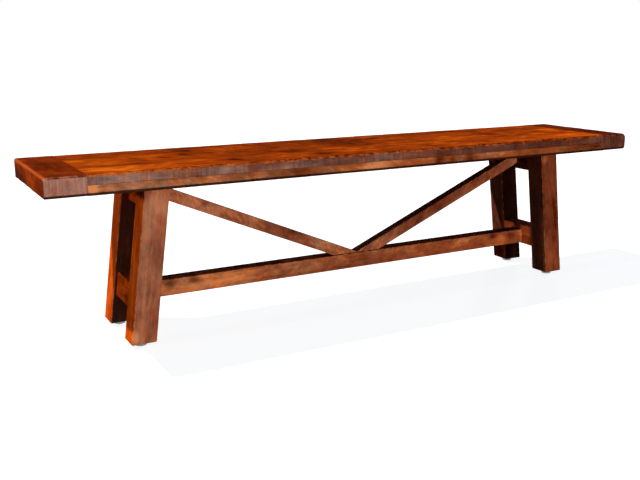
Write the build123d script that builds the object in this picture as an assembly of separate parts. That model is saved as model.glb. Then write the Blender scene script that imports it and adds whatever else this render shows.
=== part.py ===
from build123d import *
from math import asin, atan2, cos, degrees, hypot, radians, sin, tan
import os

# Dining bench with a planked top, two leaning trestles, a long stretcher and two braces.
# Millimetres. The origin is on the floor under the middle of the bench.
# +X runs along the bench, +Y to its back, +Z up. Each trestle is modelled at +X and mirrored.

# Overall size
bench_length = 1829.0
bench_depth = 364.0
bench_height = 457.0

# Top: planks between two breadboard ends, thickened along the front and back by glued strips
plank_count = 3
plank_thickness = 25.0
strip_thickness = 25.0
strip_width = 44.0
breadboard_width = 98.0
seam_ease = 0.6
long_arris_wear = 5.5
end_arris_wear = 9.0
bottom_arris_wear = 3.0
corner_radius = 3.0
tongue_length = 20.0
tongue_thickness = 8.0
tongue_setback = 22.0
breadboard_peg_radius = 4.0
breadboard_peg_rise = 42.0
plank_dowel_radius = 4.0
plank_dowel_length = 50.0
plank_dowels_per_seam = 4
plank_dowel_end_distance = 160.0

# Battens that lie in the hollow of the top, one against each trestle and one in the middle
batten_width = 42.0
batten_thickness = 24.0
batten_end_gap = 2.0
batten_edge_wear = 1.0

# Trestles: two legs, an upper rail and a lower rail, all leaning inwards by the splay angle
splay_angle = 7.6
leg_section = 64.0
frame_setback = 54.0
foot_setback = 193.0
leg_lift = 11.0
leg_edge_wear = 2.0
leg_foot_wear = 2.5
lower_rail_thickness = 56.5
upper_rail_thickness = 42.0
rail_edge_wear = 1.5
lower_rail_bottom = 88.5
lower_rail_height = 65.0
upper_rail_height = 89.0
tenon_thickness = 20.0
tenon_length = 28.0
tenon_shoulder = 10.0

# Stretcher between the lower rails
stretcher_section = 45.0
stretcher_bottom = 93.2
stretcher_edge_wear = 1.5

# Braces that rise from the middle of the stretcher to the upper rails
brace_section = 32.4
brace_head_rise = 35.0
brace_nose = 1.6
brace_edge_wear = 1.2

# Stretcher bolts, their washers, cross nuts, plugs and the dowels beside them
bolt_radius = 4.0
bolt_reach = 92.0
bolt_head_across_flats = 13.0
bolt_head_height = 5.3
washer_radius = 9.0
washer_thickness = 1.6
plug_radius = 10.0
plug_depth = 6.0
bolt_counterbore = 16.0
cross_nut_radius = 6.0
cross_nut_length = 26.0
cross_nut_from_end = 34.0
stretcher_dowel_radius = 4.0
stretcher_dowel_offset = 14.0
stretcher_dowel_length = 50.0

# Countersunk wood screws
screw_shank_radius = 2.4
screw_head_radius = 4.6
screw_head_height = 2.8
screw_point_length = 5.0
batten_screw_length = 40.0
side_screw_length = 65.0
side_screws_per_trestle = 4
brace_foot_screw_length = 58.0
brace_foot_screw_from_middle = 60.0
brace_foot_screw_recess = 5.0
brace_head_screw_length = 65.0
brace_plug_radius = 5.5
brace_plug_depth = 5.0

# Levelling glides: a threaded insert in each leg, a stud that turns in it and a swivel foot
insert_radius = 6.0
insert_length = 26.0
stud_radius = 4.0
stud_thread_length = 36.0
stud_point_wear = 1.0
stud_socket_spare = 4.0
stud_collar_radius = 8.5
stud_collar_thickness = 1.0
stud_hex_across_flats = 13.0
stud_hex_height = 2.6
stud_button_radius = 6.0
stud_button_height = 2.4
glide_base_radius = 15.0
glide_base_height = 6.2
glide_base_rounding = 1.4
glide_base_floor = 1.2
glide_sole_radius = 13.2
glide_sole_height = 0.8

# Clearances
glue_line = 0.1
hole_gap = 0.1
running_gap = 0.05

# Worked out from the sizes above
half_length = bench_length / 2
half_depth = bench_depth / 2
top_underside = bench_height - plank_thickness - strip_thickness
plank_underside = bench_height - plank_thickness
plank_end = half_length - breadboard_width
plank_width = bench_depth / plank_count
foot_x = half_length - foot_setback
half_frame = half_depth - frame_setback
inner_half = half_frame - leg_section
stretcher_top = stretcher_bottom + stretcher_section
stretcher_middle = stretcher_bottom + stretcher_section / 2
lean = radians(splay_angle)
far = bench_length
signs = (-1, 1)
side_names = {-1: "left", 1: "right"}
row_names = {-1: "front", 1: "back"}
stance = Pos(foot_x, 0, leg_lift) * Rot(0, -splay_angle, 0)


def block(x0, x1, y0, y1, z0, z1):
    """Box between two corners."""
    size = (x1 - x0, y1 - y0, z1 - z0)
    return Pos((x0 + x1) / 2, (y0 + y1) / 2, (z0 + z1) / 2) * Box(*size)


def rod(radius, start, direction, length):
    """Round bar from a start point along a direction."""
    return Solid.make_cylinder(radius, length, Plane(origin=start, z_dir=direction))


def mirrored(shape, axis):
    """Copy on the other side of the bench: axis X swaps left and right, axis Y front and back."""
    return shape.mirror(Plane.YZ if axis == "X" else Plane.XZ)


def on_side(shape, side):
    """A shape that is drawn at the right-hand end, placed at the given end."""
    return shape if side > 0 else mirrored(shape, "X")


def in_row(shape, row):
    """A shape that is drawn at the back, placed in the given row."""
    return shape if row > 0 else mirrored(shape, "Y")


def at_each_end(shape):
    """Both mirror images of a shape that is drawn at the right-hand end."""
    return [on_side(shape, side) for side in signs]


def face_x(inset, height):
    """X of the leaning plane that lies inset behind the legs' outer faces, at a height."""
    return foot_x - inset / cos(lean) - tan(lean) * (height - leg_lift)


def leaning(inset_out, inset_in, y0, y1, z0, z1):
    """Piece between two leaning planes, cut level at its bottom and top."""
    blank = stance * block(-inset_in, -inset_out, y0, y1, -far, far)
    return blank & block(0, far, y0, y1, z0, z1)


def beyond_trestle():
    """Everything outside the inner faces of the right-hand trestle."""
    return stance * block(-leg_section, far, -far, far, -far, far)


def hexagon_bar(across_flats, z0, z1):
    """Upright hexagonal bar on the Z axis."""
    profile = RegularPolygon(across_flats / 2, 6, major_radius=False)
    return Pos(0, 0, z0) * extrude(profile, z1 - z0)


def turned(points):
    """Solid of revolution about Z from radius and height pairs."""
    profile = make_face(Polyline(*[(r, 0, z) for r, z in points], close=True))
    return revolve(profile, Axis.Z)


def wood_screw(length, gap=0.0):
    """Countersunk screw with its head's flat at the origin and its point at +Z."""
    shank = screw_shank_radius + gap
    head = screw_head_radius + gap
    tip = length + gap
    point = tip - screw_point_length
    return turned([(0, 0), (head, 0), (shank, screw_head_height), (shank, point), (0, tip)])


def placed(shape, start, direction):
    """A shape that is drawn along +Z, moved to a start point and turned to a direction."""
    return Plane(origin=start, z_dir=direction).location * shape


def group(solids):
    """Separate identical solids in one node."""
    return Compound(solids)


# Top fixings and joints, listed first because the boards are cut to them

def plank_edges():
    """Y of every plank boundary, front to back."""
    return [-half_depth + i * plank_width for i in range(plank_count + 1)]


def tongue(y0, y1, z_gap, end_gap):
    """Tongue of the top's right-hand end, stopped short of the front and back edges."""
    start = max(y0, -half_depth + tongue_setback - end_gap)
    stop = min(y1, half_depth - tongue_setback + end_gap)
    middle = bench_height - plank_thickness / 2
    half = tongue_thickness / 2 + z_gap
    reach = plank_end + tongue_length + end_gap
    return block(plank_end - end_gap, reach, start, stop, middle - half, middle + half)


def plank_dowels(gap=0.0):
    """Round dowels across each seam between planks."""
    step = (2 * plank_end - 2 * plank_dowel_end_distance) / (plank_dowels_per_seam - 1)
    height = bench_height - plank_thickness / 2
    dowels = []
    for seam in plank_edges()[1:-1]:
        for i in range(plank_dowels_per_seam):
            x = -plank_end + plank_dowel_end_distance + i * step
            start = (x, seam - plank_dowel_length / 2 - gap, height)
            length = plank_dowel_length + 2 * gap
            dowels.append(rod(plank_dowel_radius + gap, start, (0, 1, 0), length))
    return dowels


def breadboard_pegs(gap=0.0):
    """Pegs that lock the tongues into the breadboards, driven in from below."""
    pegs = []
    for side in signs:
        x = side * (plank_end + tongue_length / 2)
        for y in batten_screw_places():
            start = (x, y, top_underside)
            length = breadboard_peg_rise + gap
            pegs.append(rod(breadboard_peg_radius + gap, start, (0, 0, 1), length))
    return pegs


def batten_screw_places():
    """Y of one fixing in the middle of each plank, drawn in from the strips at the edges."""
    limit = half_depth - strip_width - batten_width / 2
    edges = plank_edges()
    middles = [(a + b) / 2 for a, b in zip(edges, edges[1:])]
    return [max(-limit, min(limit, y)) for y in middles]


def batten_places():
    """X of the three battens' middles."""
    beside = face_x(leg_section, plank_underside - batten_thickness) - batten_width / 2
    return [-beside, 0, beside]


def batten_screws(gap=0.0):
    """Screws up through the battens into the planks."""
    z = plank_underside - batten_thickness
    screws = []
    for x in batten_places():
        for y in batten_screw_places():
            screws.append(placed(wood_screw(batten_screw_length, gap), (x, y, z), (0, 0, 1)))
    return screws


def side_screws(gap=0.0):
    """Level screws through the outer battens into the legs and the upper rails."""
    x = batten_places()[-1] - batten_width / 2
    z = plank_underside - batten_thickness / 2
    leg_middle = half_frame - leg_section / 2
    step = 2 * leg_middle / (side_screws_per_trestle - 1)
    screws = []
    for i in range(side_screws_per_trestle):
        y = -leg_middle + i * step
        screw = placed(wood_screw(side_screw_length, gap), (x, y, z), (1, 0, 0))
        screws += at_each_end(screw)
    return screws


def battens():
    """Three cross battens, left, centre and right."""
    half = half_depth - strip_width - batten_end_gap
    z0, z1 = plank_underside - batten_thickness, plank_underside
    pieces = []
    for x in batten_places():
        bar = block(x - batten_width / 2, x + batten_width / 2, -half, half, z0, z1)
        low = bar.edges().filter_by(Axis.Y).group_by(Axis.Z)[0]
        bar = chamfer(low, batten_edge_wear)
        bar = bar - batten_screws(hole_gap) - side_screws(hole_gap)
        pieces.append(bar - beyond_trestle() if x > 0 else bar - mirrored(beyond_trestle(), "X"))
    return pieces


def top_planks():
    """Planks side by side, front to back, with a tongue at each end."""
    edges = plank_edges()
    pieces = []
    for y0, y1 in zip(edges, edges[1:]):
        board = block(-plank_end, plank_end, y0, y1, plank_underside, bench_height)
        upper = board.edges().filter_by(Axis.X).group_by(Axis.Z)[-1].sort_by(Axis.Y)
        if y0 == edges[0]:
            board = chamfer(upper[0], long_arris_wear)
            upper = board.edges().filter_by(Axis.X).group_by(Axis.Z)[-1].sort_by(Axis.Y)
            board = chamfer(upper[-1], seam_ease)
        elif y1 == edges[-1]:
            board = chamfer(upper[-1], long_arris_wear)
            upper = board.edges().filter_by(Axis.X).group_by(Axis.Z)[-1].sort_by(Axis.Y)
            board = chamfer(upper[0], seam_ease)
        else:
            board = chamfer(upper, seam_ease)
        board = board + at_each_end(tongue(y0, y1, 0, 0))
        board = board - plank_dowels(hole_gap) - breadboard_pegs(hole_gap) - batten_screws(hole_gap)
        pieces.append(board)
    return pieces


def edge_strip():
    """Back strip that doubles the thickness of the top's long edge."""
    inner = half_depth - strip_width
    strip = block(-plank_end, plank_end, inner, half_depth, top_underside, plank_underside)
    low = strip.edges().filter_by(Axis.X).group_by(Axis.Z)[0]
    return chamfer(low, bottom_arris_wear)


def worn_edge(x, y, z, wear):
    """What wear takes off an outer edge of the top, given the side and the level that it faces."""
    level = bench_height if z > 0 else top_underside
    slope = Plane(origin=(x * half_length, y * half_depth, level - z * wear), z_dir=(x, y, z))
    return slope.location * Pos(0, 0, far / 2) * Box(far, far, far)


def breadboard():
    """Right-hand breadboard end, as thick as the plank and strip together."""
    board = block(plank_end, half_length, -half_depth, half_depth, top_underside, bench_height)
    board = fillet(board.edges().filter_by(Axis.Z).group_by(Axis.X)[-1], corner_radius)
    board = board - worn_edge(1, 0, 1, end_arris_wear) - worn_edge(1, 0, -1, bottom_arris_wear)
    for y in (-1, 1):
        board = board - worn_edge(0, y, 1, long_arris_wear) - worn_edge(0, y, -1, bottom_arris_wear)
    board = board - tongue(-far, far, glue_line, glue_line)
    return board - breadboard_pegs(hole_gap)


# Trestles

def rail(thickness, z0, z1):
    """Rail of the right-hand trestle, flush with the legs' inner faces."""
    bar = leaning(leg_section - thickness, leg_section, -inner_half, inner_half, z0, z1)
    bar = chamfer(bar.edges().filter_by(Axis.Y), rail_edge_wear)
    return bar + tenons(thickness, z0, z1, 0)


def tenons(thickness, z0, z1, gap):
    """Tenons of a rail, or with a gap the mortises that take them."""
    middle = leg_section - thickness / 2
    half = tenon_thickness / 2 + gap
    low, high = z0 + tenon_shoulder - gap, z1 - tenon_shoulder + gap
    reach = inner_half + tenon_length + gap
    return leaning(middle - half, middle + half, -reach, reach, low, high)


def rail_spans():
    """Thickness, bottom and top of the lower and the upper rail."""
    return {
        "lower": (lower_rail_thickness, lower_rail_bottom, lower_rail_bottom + lower_rail_height),
        "upper": (upper_rail_thickness, plank_underside - upper_rail_height, plank_underside),
    }


def leg():
    """Right-hand back leg, cut level at its foot and under the planks."""
    post = stance * block(-leg_section, 0, inner_half, half_frame, -far, far)
    post = chamfer(post.edges().filter_by(lambda e: e.length > far), leg_edge_wear)
    post = post & block(0, far, 0, far, leg_lift, plank_underside)
    foot = post.faces().sort_by(Axis.Z)[0]
    post = chamfer(foot.edges(), leg_foot_wear)
    for thickness, z0, z1 in rail_spans().values():
        post = post - tenons(thickness, z0, z1, glue_line)
    post = post - side_screws(hole_gap)
    depth = stud_thread_length + stud_socket_spare
    x, y = glide_place()
    post = post - rod(stud_radius + running_gap, (x, y, leg_lift), (0, 0, 1), depth)
    return post - rod(insert_radius, (x, y, leg_lift), (0, 0, 1), insert_length)


def upper_rail():
    """Right-hand upper rail, drilled for the brace and batten screws."""
    bar = rail(*rail_spans()["upper"])
    bar = bar - side_screws(hole_gap) - brace_head_screws(hole_gap)
    return bar - brace_plugs(0)


def lower_rail():
    """Right-hand lower rail, drilled for the stretcher's bolt and dowels."""
    bar = rail(*rail_spans()["lower"])
    seat = bolt_seat_x()
    start = (seat, 0, stretcher_middle)
    bar = bar - rod(plug_radius, start, (1, 0, 0), bolt_counterbore + plug_radius)
    bar = bar - rod(bolt_radius + hole_gap, start, (-1, 0, 0), far / 2)
    return bar - stretcher_dowels(hole_gap)


# Stretcher

def bolt_seat_x():
    """X of the flat on which the bolt's washer bears, at the bottom of its counterbore."""
    return face_x(leg_section - lower_rail_thickness, stretcher_middle) - bolt_counterbore


def stretcher_end_x():
    """X of the stretcher's end at its middle height."""
    return face_x(leg_section, stretcher_middle)


def stretcher_dowels(gap=0.0):
    """Two level dowels at each end that stop the stretcher from turning."""
    x = stretcher_end_x() - stretcher_dowel_length / 2 - gap
    length = stretcher_dowel_length + 2 * gap
    dowels = []
    for y in (-stretcher_dowel_offset, stretcher_dowel_offset):
        dowel = rod(stretcher_dowel_radius + gap, (x, y, stretcher_middle), (1, 0, 0), length)
        dowels += at_each_end(dowel)
    return dowels


def cross_nut(gap=0.0):
    """Right-hand cross nut, an upright barrel in the stretcher that the bolt screws into."""
    x = stretcher_end_x() - cross_nut_from_end
    z = stretcher_middle - cross_nut_length / 2 - gap
    return rod(cross_nut_radius + gap, (x, 0, z), (0, 0, 1), cross_nut_length + gap)


def stretcher_bolts():
    """Hexagon bolts through the lower rails into the cross nuts."""
    seat = bolt_seat_x() + washer_thickness
    head = hexagon_bar(bolt_head_across_flats, 0, bolt_head_height)
    bolt = placed(head, (seat, 0, stretcher_middle), (1, 0, 0))
    bolt = bolt + rod(bolt_radius, (seat, 0, stretcher_middle), (-1, 0, 0), bolt_reach)
    return at_each_end(bolt)


def stretcher_washers():
    """Washers under the bolt heads."""
    start = (bolt_seat_x(), 0, stretcher_middle)
    washer = rod(washer_radius, start, (1, 0, 0), washer_thickness)
    washer = washer - rod(bolt_radius + hole_gap, start, (1, 0, 0), washer_thickness)
    return at_each_end(washer)


def stretcher_plugs():
    """Wood plugs that close the counterbores flush with the leaning faces."""
    inset = leg_section - lower_rail_thickness
    x = face_x(inset, stretcher_middle)
    plug = rod(plug_radius, (x - plug_depth, 0, stretcher_middle), (1, 0, 0), plug_depth + plug_radius)
    return at_each_end(plug & stance * block(-leg_section, -inset, -far, far, -far, far))


def stretcher():
    """Long square stretcher, its ends cut to the lean of the rails."""
    half = stretcher_section / 2
    bar = block(-foot_x, foot_x, -half, half, stretcher_bottom, stretcher_top)
    bar = chamfer(bar.edges().filter_by(Axis.X), stretcher_edge_wear)
    bar = bar - at_each_end(beyond_trestle())
    seat = bolt_seat_x() + washer_thickness - bolt_reach - hole_gap
    bolt_hole = rod(bolt_radius + hole_gap, (seat, 0, stretcher_middle), (1, 0, 0), bolt_reach)
    nut = cross_nut(hole_gap)
    start = (nut.center().X, 0, stretcher_bottom)
    nut_hole = nut + rod(cross_nut_radius + hole_gap, start, (0, 0, 1), half)
    bar = bar - at_each_end(bolt_hole) - at_each_end(nut_hole)
    return bar - stretcher_dowels(hole_gap) - brace_foot_screws(hole_gap) - brace_foot_recesses()


# Braces

def brace():
    """Right-hand brace from the middle of the stretcher to the upper rail."""
    half = brace_section / 2
    height = brace_head_height()
    bar = block(-far, far, -half, half, -half, half)
    bar = chamfer(bar.edges().filter_by(Axis.X), brace_edge_wear)
    bar = Pos(face_x(leg_section, height), 0, height) * Rot(0, -degrees(brace_rise()), 0) * bar
    bar = bar & block(0, far, -far, far, stretcher_top, far)
    bar = bar - beyond_trestle()
    return bar - brace_foot_screws(hole_gap) - brace_head_screws(hole_gap)


def brace_foot_screws(gap=0.0):
    """Screws up through the stretcher into the foot of each brace."""
    start = (brace_foot_screw_from_middle, 0, stretcher_bottom + brace_foot_screw_recess)
    return at_each_end(placed(wood_screw(brace_foot_screw_length, gap), start, (0, 0, 1)))


def brace_foot_recesses():
    """Recesses in the stretcher's underside that hide the foot screws' heads."""
    start = (brace_foot_screw_from_middle, 0, stretcher_bottom)
    recess = rod(screw_head_radius + hole_gap, start, (0, 0, 1), brace_foot_screw_recess)
    return at_each_end(recess)


def brace_head_height():
    """Height at which the brace's axis meets the upper rail's inner face."""
    return plank_underside - upper_rail_height + brace_head_rise


def brace_rise():
    """Angle of the brace, so that its upper edge starts from the middle of the stretcher."""
    height = brace_head_height()
    run = face_x(leg_section, height)
    climb = height - stretcher_top - brace_nose
    return atan2(climb, run) + asin(brace_section / 2 / hypot(climb, run))


def brace_head_line():
    """Start on the upper rail's outer face and direction of the brace's head screw."""
    height = brace_head_height() + upper_rail_thickness * sin(lean)
    start = (face_x(leg_section - upper_rail_thickness, height), 0, height)
    return start, (-cos(lean), 0, -sin(lean))


def brace_head_screws(gap=0.0):
    """Screws square through the upper rails into the heads of the braces."""
    start, inward = brace_head_line()
    seat = [s + brace_plug_depth * d for s, d in zip(start, inward)]
    return at_each_end(placed(wood_screw(brace_head_screw_length, gap), seat, inward))


def brace_plugs(gap=0.0):
    """Wood plugs over the brace screws' heads."""
    start, inward = brace_head_line()
    return at_each_end(rod(brace_plug_radius + gap, start, inward, brace_plug_depth))


# Levelling glides

def glide_place():
    """X and Y of the right-hand back glide, in the middle of the leg's foot."""
    return face_x(leg_section / 2, leg_lift), half_frame - leg_section / 2


def glide_inserts():
    """Threaded inserts in the feet of the legs."""
    x, y = glide_place()
    sleeve = rod(insert_radius, (x, y, leg_lift), (0, 0, 1), insert_length)
    sleeve = sleeve - rod(stud_radius + running_gap, (x, y, leg_lift), (0, 0, 1), insert_length)
    return [in_row(s, row) for row in signs for s in at_each_end(sleeve)]


def glide_stud():
    """Threaded stud with a spanner flat, a stop collar and a button that turns in the foot."""
    button = glide_sole_height + glide_base_floor + running_gap
    button_top = button + stud_button_height
    collar = leg_lift - stud_collar_thickness
    tip = leg_lift + stud_thread_length
    shoulder = tip - stud_point_wear
    foot = [(0, button), (stud_button_radius, button), (stud_button_radius, button_top)]
    stop = [(stud_radius, button_top), (stud_radius, collar), (stud_collar_radius, collar),
            (stud_collar_radius, leg_lift), (stud_radius, leg_lift)]
    point = [(stud_radius, shoulder), (stud_radius - stud_point_wear, tip), (0, tip)]
    hexagon = hexagon_bar(stud_hex_across_flats, collar - stud_hex_height, collar)
    return turned(foot + stop + point) + hexagon


def glide_base():
    """Swivel foot: a round plated disc with a pocket for the stud's button."""
    z0 = glide_sole_height
    z1 = z0 + glide_base_height
    disc = Solid.make_cylinder(glide_base_radius, glide_base_height, Plane(origin=(0, 0, z0)))
    disc = fillet(disc.edges().group_by(Axis.Z)[-1], glide_base_rounding)
    pocket = z0 + glide_base_floor
    pocket_top = pocket + stud_button_height + 2 * running_gap
    neck = stud_radius + running_gap
    wide = stud_button_radius + running_gap
    outline = [(0, pocket), (wide, pocket), (wide, pocket_top), (neck, pocket_top), (neck, z1), (0, z1)]
    return disc - turned(outline)


def glide_sole():
    """Rubber sole under the swivel foot."""
    return Solid.make_cylinder(glide_sole_radius, glide_sole_height)


def save(name, shape):
    """Writes one node's file."""
    export_step(shape, f"parts/{name}.step")


def save_top():
    for row, board in zip(("front", "middle", "back"), top_planks()):
        save(f"top_plank_{row}", board)
    for side in signs:
        save(f"breadboard_{side_names[side]}", on_side(breadboard(), side))
    for row in signs:
        save(f"edge_strip_{row_names[row]}", in_row(edge_strip(), row))
    for place, bar in zip(("left", "centre", "right"), battens()):
        save(f"batten_{place}", bar)
    save("plank_dowels", group(plank_dowels()))
    save("breadboard_pegs", group(breadboard_pegs()))
    save("batten_screws", group(batten_screws()))
    save("batten_side_screws", group(side_screws()))


def save_trestles():
    for side in signs:
        save(f"upper_rail_{side_names[side]}", on_side(upper_rail(), side))
        save(f"lower_rail_{side_names[side]}", on_side(lower_rail(), side))
        for row in signs:
            save(f"leg_{row_names[row]}_{side_names[side]}", in_row(on_side(leg(), side), row))


def save_stretcher_and_braces():
    save("stretcher", stretcher())
    save("stretcher_bolts", group(stretcher_bolts()))
    save("stretcher_washers", group(stretcher_washers()))
    save("stretcher_cross_nuts", group(cross_nuts()))
    save("stretcher_dowels", group(stretcher_dowels()))
    save("stretcher_bolt_plugs", group(stretcher_plugs()))
    for side in signs:
        save(f"brace_{side_names[side]}", on_side(brace(), side))
    save("brace_foot_screws", group(brace_foot_screws()))
    save("brace_head_screws", group(brace_head_screws()))
    save("brace_screw_plugs", group(brace_plugs()))


def cross_nuts():
    """Cross nuts with the bolts' holes through them."""
    bolt_hole = rod(bolt_radius + hole_gap, (0, 0, stretcher_middle), (1, 0, 0), far)
    return at_each_end(cross_nut() - bolt_hole)


def save_glides():
    save("glide_inserts", group(glide_inserts()))
    x, y = glide_place()
    for side in signs:
        for row in signs:
            place = Pos(side * x, row * y, 0)
            name = f"{row_names[row]}_{side_names[side]}"
            save(f"glide_base_{name}", place * glide_base())
            save(f"glide_sole_{name}", place * glide_sole())
            save(f"glide_stud_{name}", place * glide_stud())


os.makedirs("parts", exist_ok=True)
save_top()
save_trestles()
save_stretcher_and_braces()
save_glides()
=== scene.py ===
from math import cos, exp, pi, radians, sin, sqrt, tan

import bpy
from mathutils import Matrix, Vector, noise


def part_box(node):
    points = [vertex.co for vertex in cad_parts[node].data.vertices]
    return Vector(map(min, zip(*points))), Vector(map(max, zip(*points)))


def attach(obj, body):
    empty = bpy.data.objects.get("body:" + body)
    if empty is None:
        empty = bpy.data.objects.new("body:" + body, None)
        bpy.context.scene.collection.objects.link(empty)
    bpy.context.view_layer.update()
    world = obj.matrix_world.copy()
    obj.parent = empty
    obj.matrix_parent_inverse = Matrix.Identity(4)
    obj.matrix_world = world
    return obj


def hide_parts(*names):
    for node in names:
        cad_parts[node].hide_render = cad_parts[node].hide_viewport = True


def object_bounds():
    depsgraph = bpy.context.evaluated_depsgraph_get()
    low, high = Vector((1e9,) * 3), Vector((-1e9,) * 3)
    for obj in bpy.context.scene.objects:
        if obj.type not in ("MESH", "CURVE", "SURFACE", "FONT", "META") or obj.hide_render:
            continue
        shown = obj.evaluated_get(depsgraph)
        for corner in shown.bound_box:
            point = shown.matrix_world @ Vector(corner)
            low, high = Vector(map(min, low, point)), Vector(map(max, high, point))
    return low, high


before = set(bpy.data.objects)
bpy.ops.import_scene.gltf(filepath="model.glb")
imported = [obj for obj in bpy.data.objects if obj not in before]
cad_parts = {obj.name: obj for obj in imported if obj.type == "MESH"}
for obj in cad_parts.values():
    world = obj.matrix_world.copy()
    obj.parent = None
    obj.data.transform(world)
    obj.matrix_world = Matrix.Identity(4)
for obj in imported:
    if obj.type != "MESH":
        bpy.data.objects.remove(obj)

# Lengths are metres, in the bench's own frame: +X along the bench, +Y to its back, +Z up.

cad_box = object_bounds()
MM = 0.001
X_AXIS, Y_AXIS, Z_AXIS = (1, 0, 0), (0, 1, 0), (0, 0, 1)
ENDS = ((-1, "left"), (1, "right"))

# Camera of the photograph
CAMERA_PLACE = (-1.2571, -2.0523, 0.7536)
CAMERA_TILT = radians(76.385)
CAMERA_TURN = radians(-29.075)
LENS_MM = 46.70

# Light: a key from the back left above, level lights from the front and the left, and a weak one
# behind. Each has a name, the side it comes from, a strength, an angle in degrees, and whether
# glossy reflections show it.
SUNS = (
    ("key", (-0.537, 0.365, 1.0), 4.25, 1.2, True),
    ("front", (0.0, -1.0, 0.03), 2.4, 3.0, True),
    ("left", (-1.0, 0.0, 0.123), 0.85, 1.5, True),
    ("behind", (0.72, 0.70, 0.12), 1.5, 8.0, False),
)
WHITE = (1, 1, 1, 1)
AMBIENT = (0.080, 0.130, 0.200, 1.0)
# Glossy rays see this share of the pale floor and of a white band at the horizon. The band is
# full up to this height, the sine of its angle, and gone at three times it.
GLOSS_SHARE = 1.0
HORIZON_BAND = 0.012
FLOOR_HALF = 40.0
FLOOR_GLOW = 0.88
FLOOR_LIT_SHARE = 0.35
FLOOR_BOUNCE_GREY = 0.06

# Sizes read from the construction
HALF_LENGTH = cad_box[1].x
HALF_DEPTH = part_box("edge_strip_back")[1].y
PLANK_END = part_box("breadboard_right")[0].x
TOP_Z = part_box("top_plank_front")[1].z
SLAB_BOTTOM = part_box("edge_strip_front")[0].z
LEG_LOW, LEG_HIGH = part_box("leg_back_right")
LEG_SECTION = LEG_HIGH.y - LEG_LOW.y
GLIDE_LOW, GLIDE_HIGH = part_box("glide_base_back_right")

# Lean of the trestles, slope of the braces, and how far above the stretcher the braces' upper
# edges meet, as in the construction
LEAN = radians(7.6)
BRACE_ANGLE = radians(22.81)
BRACE_NOSE = 1.6 * MM

# A leg's width along X on a level cut, and the outer edge of its foot
LEG_LEVEL = LEG_SECTION / cos(LEAN)
FOOT_X = GLIDE_LOW.x / 2 + GLIDE_HIGH.x / 2 + LEG_LEVEL / 2

# How far dressed faces lie inside the construction's, in the open and in a joint
SKIN = 0.15 * MM
JOINT_SKIN = 0.02 * MM
JOINT_ROUND = 0.12 * MM

# Worn arrises: how far their radius wanders, in broad and fine waves, and the steps in the noise
# from corner to corner and from board to board. A radius stays below RADIUS_LIMIT of the section,
# and one up to CUT_RADIUS isn't worn.
WANDER_SHARE = 0.45
WANDER_WAVE = 0.045
FINE_PER_BROAD = 4.1
FINE_SHARE = 0.5
BROAD_APART = (7.3, 1.7)
FINE_APART = (3.1, 2.9)
RADIUS_LIMIT = 0.45
CUT_RADIUS = 1 * MM

# Points of a ring: steps in a rounding, distances of the flats' first points from an arris, and
# the shares that stand in for those distances on a narrow flat
ARC_STEPS = 4
END_ROUND_STEPS = 4
NEAR_ARRIS = (2.5 * MM, 7.0 * MM)
NARROW_START, NARROW_STEP = 0.3, 0.1

# Wear of the points: on a rounding, where it ends, on the flats beside it, on the rim of an end
# face and in its rounding. Beyond CAP_EDGE of an end's rounding a point belongs to the end face.
FULL_WORN = 1.0
ARC_END_WORN = 0.7
FLAT_WORN = (0.25, 0.0)
CAP_RIM_WORN = 0.3
CAP_ROUND_WORN = 0.5
CAP_EDGE = 0.8

# Numbers of a board's top side and of its end faces
TOP_SIDE = 0
END_SIDE = 4

# Rims: points worn more and facing up more than this, and the upward share that keeps its tone
RIM_WORN = 0.5
RIM_UP = 0.1
RIM_MIDDLE = 0.55
# How fast a band of another palette grows in the rounding at a board's start
BAND_GAIN = 2.5

# Waves of the hollows in a face, waves and strength of a mark's ragged edge, and the steps in
# the grain from board to board
HOLLOW_WAVES = (9, 22)
RAGGED_WAVES = 31
RAGGED = 0.9
GRAIN_APART = (0.731, 0.417, 0.293)
SHARP_ANGLE = radians(38)

# Painted shade: a dark line along the bottom of the slab's front and back, its height and how deep it
# reaches
UNDER_SHADE_LINE = 7.0 * MM
UNDER_REACH = 7 * MM


def colour(red, green, blue):
    """Linear colour from screen values of 0 to 255."""
    return tuple((c / 255 / 12.92) if c < 11 else (((c / 255) + 0.055) / 1.055) ** 2.4
                 for c in (red, green, blue)) + (1.0,)


# Dressed boards

class Board:
    """A board as a lofted ring: an origin, three axes and the size of its section.

    s, w and t are distances along, across and up. Corners and sides are numbered clockwise as
    seen with w to the right: corners far top, far bottom, near bottom and near top, sides top,
    far, bottom and near. The end faces are a fifth side.
    """

    def __init__(self, name, origin, along, across, rise, width, thick):
        self.name = name
        self.origin = Vector(origin)
        self.along, self.across, self.rise = Vector(along), Vector(across), Vector(rise)
        self.width, self.thick = width, thick
        # Where each line of the board starts and stops
        self.start = lambda w, t: 0.0
        self.stop = lambda w, t: 1.0
        # Roundings: of the corners, of the start and stop, and each side's share of those
        self.radii = [1.5 * MM] * 4
        self.end_round = (1.5 * MM, 1.5 * MM)
        self.end_shares = (1, 1, 1, 1)
        self.skins = (SKIN,) * 4
        self.wave = 0.35 * MM
        self.step = 6 * MM
        self.side_step = 9 * MM
        # Place of each side, and of the end faces, between the wood's two palettes
        self.palette = (0, 0, 0, 0)
        self.cap_side = 0
        # Tone of the whole board, its rise per metre of X (a painted sheen that fades towards the
        # right), and the tone of each side
        self.tone_base, self.sheen_slope = 0.0, 0.0
        self.side_tones = (0.0,) * 5
        # Tone and palette place of the rounded upper arrises, and of the start's rounding
        self.rim, self.rim_look = 0.0, 0.0
        self.band = None
        self.marks = []
        self.casts = []
        self.seed = sum(ord(c) * (i + 3) for i, c in enumerate(name)) % 97

    def point(self, s, w, t):
        return self.origin + self.along * s + self.across * w + self.rise * t


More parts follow.
